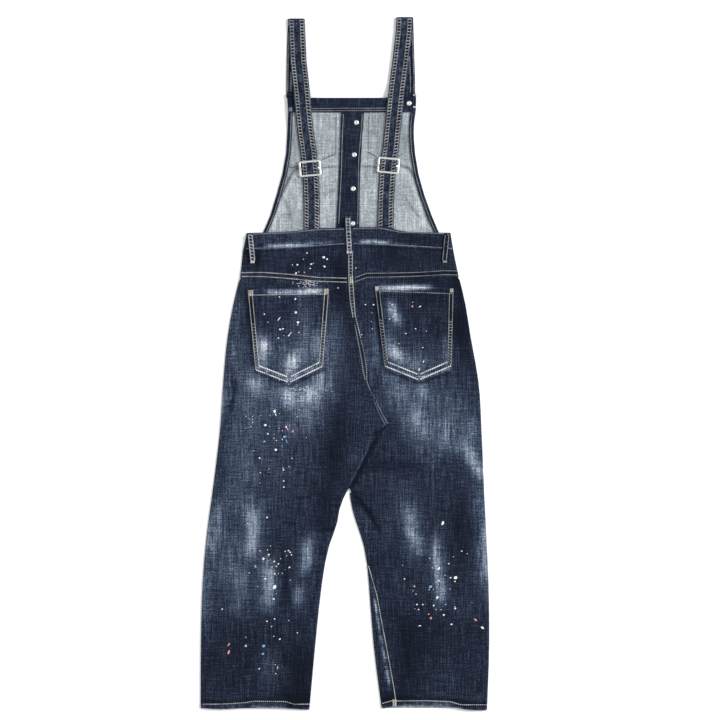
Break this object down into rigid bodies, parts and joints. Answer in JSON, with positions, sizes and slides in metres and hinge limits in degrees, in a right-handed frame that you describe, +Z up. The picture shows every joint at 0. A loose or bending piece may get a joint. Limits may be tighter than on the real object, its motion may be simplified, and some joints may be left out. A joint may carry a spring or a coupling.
{
  "type": "denim dungarees laid flat",
  "caption": "Worn denim dungarees laid flat with the back up: cropped trousers with seat pockets, a bib, and shoulder straps with metal sliders, spattered with paint.",
  "frame": {"origin": "centre of the garment's box, on the floor it lies on", "axes": "+X to the wearer's right, +Y from the hems to the shoulder folds, +Z up off the floor"},
  "size_m": [0.5636, 1.3528, 0.0093],
  "materials": {
    "worn_denim": "faded indigo twill with paint spatter",
    "dark_denim": "indigo twill",
    "facing_denim": "dark indigo twill",
    "reverse_denim": "pale reverse of the twill",
    "nickel": "nickel plated, lightly worn"
  },
  "bodies": {
    "root": {"leg_back_left": "worn_denim", "leg_back_right": "worn_denim", "leg_front_left": "worn_denim", "leg_front_right": "worn_denim", "leg_front_right_turn": "worn_denim", "waistband_back": "worn_denim", "pocket_left": "worn_denim", "pocket_right": "worn_denim", "yoke_left": "dark_denim", "yoke_right": "dark_denim", "waistband_front": "dark_denim", "belt_loop_left": "dark_denim", "belt_loop_centre": "dark_denim", "belt_loop_right": "dark_denim", "strap_left": "dark_denim", "strap_right": "dark_denim", "bib_placket": "facing_denim", "bib_band": "facing_denim", "bib_binding_left": "facing_denim", "bib_binding_right": "facing_denim", "bib_left": "reverse_denim", "bib_right": "reverse_denim", "strap_slider_left": "nickel", "strap_slider_right": "nickel", "strap_hook_left": "nickel", "strap_hook_right": "nickel", "placket_button_1": "nickel", "placket_button_2": "nickel", "placket_button_3": "nickel", "placket_button_4": "nickel", "bib_button_left": "nickel", "bib_button_right": "nickel"}
  },
  "joints": []
}
